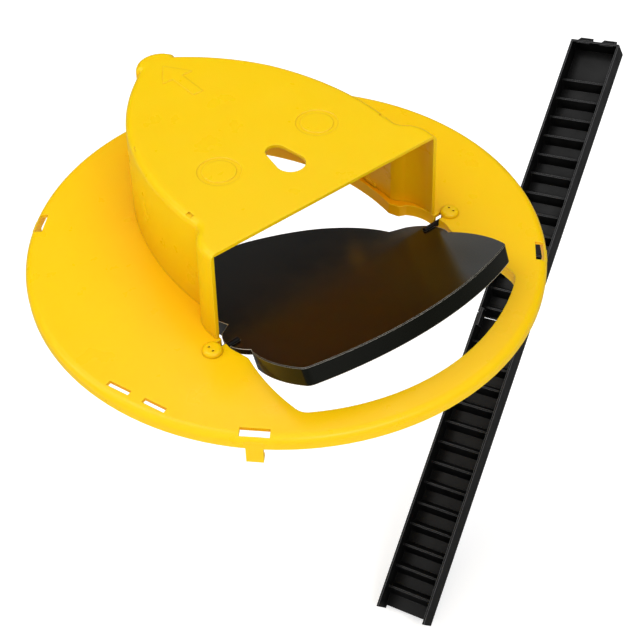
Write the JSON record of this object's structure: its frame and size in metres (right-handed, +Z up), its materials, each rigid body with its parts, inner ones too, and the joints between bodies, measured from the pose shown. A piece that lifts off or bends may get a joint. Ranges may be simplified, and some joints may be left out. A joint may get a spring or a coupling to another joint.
{
  "type": "bucket lid mouse trap",
  "caption": "Round bucket lid with an arched hood and a balanced tilting plate that drops a mouse into the bucket, with a plug-together stepped ramp.",
  "frame": {"origin": "on the lid's axis, at the plane where the lid's underside sits on the bucket's rim", "axes": "+X along the plate's pivot, -Y the open front, +Z up"},
  "size_m": [0.6808, 0.3386, 0.5366],
  "materials": {
    "yellow_shell": "injection moulded polypropylene, satin gloss",
    "yellow_cap": "injection moulded polypropylene, satin gloss",
    "black_plate": "glossy black polypropylene",
    "black_pin": "black moulded nylon",
    "black_cover": "black polypropylene",
    "black_ramp": "matt black polypropylene",
    "weight_steel": "zinc plated steel",
    "screw_steel": "zinc plated steel"
  },
  "bodies": {
    "lid_assembly": {"lid": "yellow_shell", "hood": "yellow_shell", "bearing_cap_left": "yellow_cap", "bearing_cap_right": "yellow_cap"},
    "tilting_plate": {"flip_plate": "black_plate", "pivot_pin_left": "black_pin", "pivot_pin_right": "black_pin", "return_weight": "weight_steel", "weight_cover": "black_cover", "weight_screws": "screw_steel"},
    "ramp_foot_section": {"ramp_lower": "black_ramp"},
    "ramp_top_section": {"ramp_upper": "black_ramp"}
  },
  "joints": [
    {"name": "plate_flip", "type": "hinge", "parent": "lid_assembly", "child": "tilting_plate", "pos_m": [0, -0.046, -0.0025], "axis": [1, 0, 0], "range_deg": [-34, 26]},
    {"name": "ramp_lift", "type": "slide", "parent": "lid_assembly", "child": "ramp_foot_section", "axis": [0, 0, 1], "range_m": [0, 0.1]},
    {"name": "ramp_join", "type": "slide", "parent": "ramp_foot_section", "child": "ramp_top_section", "axis": [0.7529, 0.3672, 0.5461], "range_m": [0, 0.03]}
  ]
}
